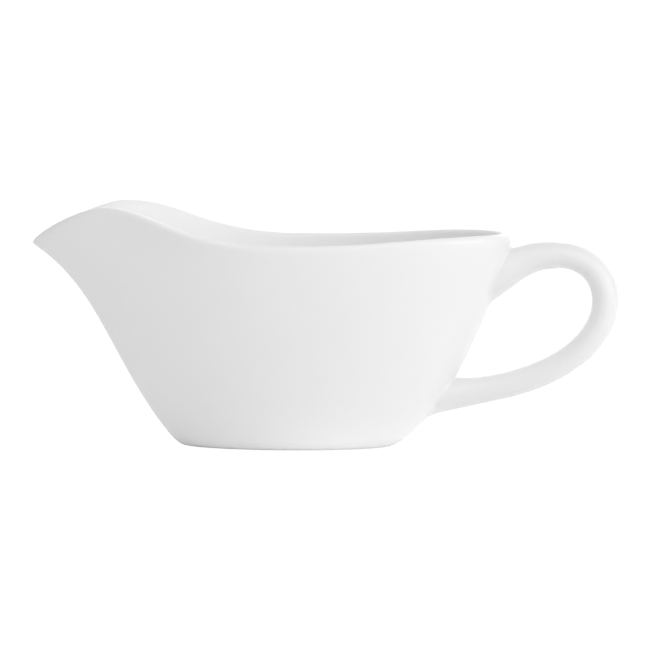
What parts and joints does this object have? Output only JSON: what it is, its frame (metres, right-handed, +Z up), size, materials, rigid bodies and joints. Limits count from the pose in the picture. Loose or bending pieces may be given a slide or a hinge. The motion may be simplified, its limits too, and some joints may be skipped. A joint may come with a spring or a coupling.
{
  "type": "gravy boat",
  "caption": "White glazed porcelain gravy boat: a flared oval bowl drawn out to a raised pouring spout, with a loop handle at the back and a flat foot.",
  "frame": {"origin": "centre of the foot ring's resting face, on the surface that the boat stands on", "axes": "+Z up, +X from the spout towards the handle, +Y across the bowl; the boat is mirror-symmetric in the plane y = 0"},
  "size_m": [0.2312, 0.089, 0.0943],
  "materials": {
    "glaze": "smooth soft-gloss white glaze",
    "handle_glaze": "smooth soft-gloss white glaze",
    "slip": "white glaze over the smoothed slip of the joint",
    "bisque": "unglazed, ground matt"
  },
  "bodies": {
    "root": {"bowl": "glaze", "handle": "handle_glaze", "upper_joint": "slip", "lower_joint": "slip", "foot_ring": "bisque"}
  },
  "joints": []
}
